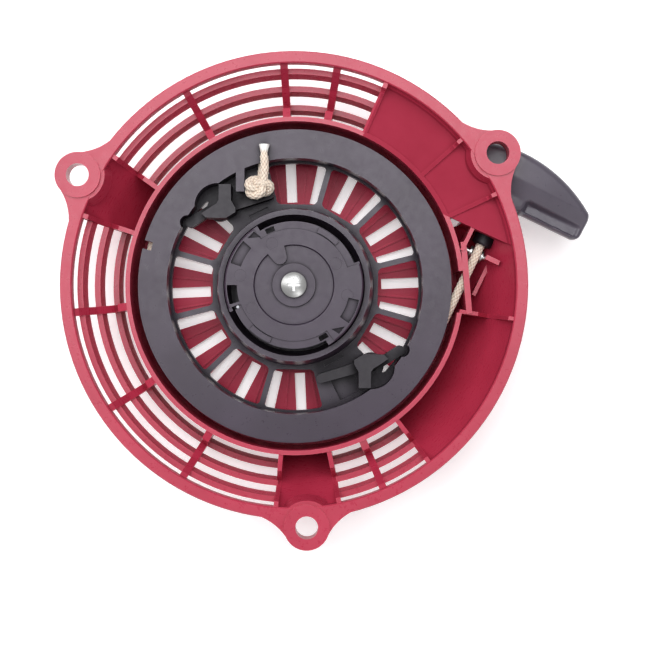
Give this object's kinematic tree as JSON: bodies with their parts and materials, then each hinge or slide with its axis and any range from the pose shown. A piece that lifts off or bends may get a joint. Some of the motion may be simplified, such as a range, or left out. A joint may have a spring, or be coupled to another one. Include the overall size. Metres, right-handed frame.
{
  "type": "recoil starter",
  "caption": "Round recoil starter with louvred case, rope reel, spring, swinging pawls and a T-shaped pull grip, for a small vertical-shaft engine.",
  "frame": {"origin": "on the reel's axis, in the plane of the three mounting boss faces", "axes": "+Z along the reel's axis towards the engine, +X and +Y across the case"},
  "size_m": [0.2259, 0.2079, 0.0532],
  "materials": {
    "red_plastic": "moulded, slightly satin",
    "black_plastic": "moulded",
    "reel_plastic": "moulded, worn satin",
    "guide_plastic": "moulded",
    "grip_plastic": "satin",
    "zinc_steel": "zinc plated",
    "spring_steel": "oiled spring steel",
    "rope_fibre": "braided"
  },
  "bodies": {
    "case": {"recoil_case": "red_plastic", "rope_guide_bush": "black_plastic", "roller_pin": "zinc_steel", "guide_collar": "zinc_steel", "retaining_washer": "guide_plastic", "setting_screw": "zinc_steel", "recoil_spring": "spring_steel", "rope_run": "rope_fibre"},
    "reel": {"rope_reel": "reel_plastic", "rope_wound": "rope_fibre", "reel_knot": "rope_fibre"},
    "guide": {"ratchet_guide": "guide_plastic", "friction_spring": "spring_steel"},
    "pawl_1": {"pawl_1": "black_plastic"},
    "pawl_2": {"pawl_2": "black_plastic"},
    "roller": {"rope_roller": "zinc_steel"},
    "grip": {"pull_grip": "grip_plastic", "grip_knot_washer": "zinc_steel", "grip_knot": "rope_fibre", "rope_lead": "rope_fibre"}
  },
  "joints": [
    {"name": "handle_pull", "type": "slide", "parent": "case", "child": "grip", "axis": [0.4376, 0.8992, 0], "range_m": [0, 1.5], "stiffness_N_per_m": 10, "springref_m": -1, "deforming": ["rope_lead", "rope_wound", "rope_run"]},
    {"name": "reel_spin", "type": "hinge", "parent": "case", "child": "reel", "pos_m": [0, 0, -0.02], "axis": [0, 0, 1], "range_deg": [0, 1344.9], "deforming": ["recoil_spring"]},
    {"name": "guide_turn", "type": "hinge", "parent": "reel", "child": "guide", "pos_m": [0, 0, 0], "axis": [0, 0, 1], "range_deg": [-20, 0]},
    {"name": "pawl_1_swing", "type": "hinge", "parent": "reel", "child": "pawl_1", "pos_m": [-0.03293, 0.0341, -0.031], "axis": [0, 0, 1], "range_deg": [0, 16]},
    {"name": "pawl_2_swing", "type": "hinge", "parent": "reel", "child": "pawl_2", "pos_m": [0.03293, -0.0341, -0.031], "axis": [0, 0, 1], "range_deg": [0, 16]},
    {"name": "rope_roller_spin", "type": "hinge", "parent": "case", "child": "roller", "pos_m": [0.07803, 0.01408, -0.0257], "axis": [0.8992, -0.4376, 0], "continuous": true}
  ],
  "couplings": [
    {"joint": "reel_spin", "follows": "handle_pull", "rad_per_m": 15.625},
    {"joint": "pawl_1_swing", "follows": "guide_turn", "ratio": -0.75},
    {"joint": "pawl_2_swing", "follows": "guide_turn", "ratio": -0.75}
  ]
}
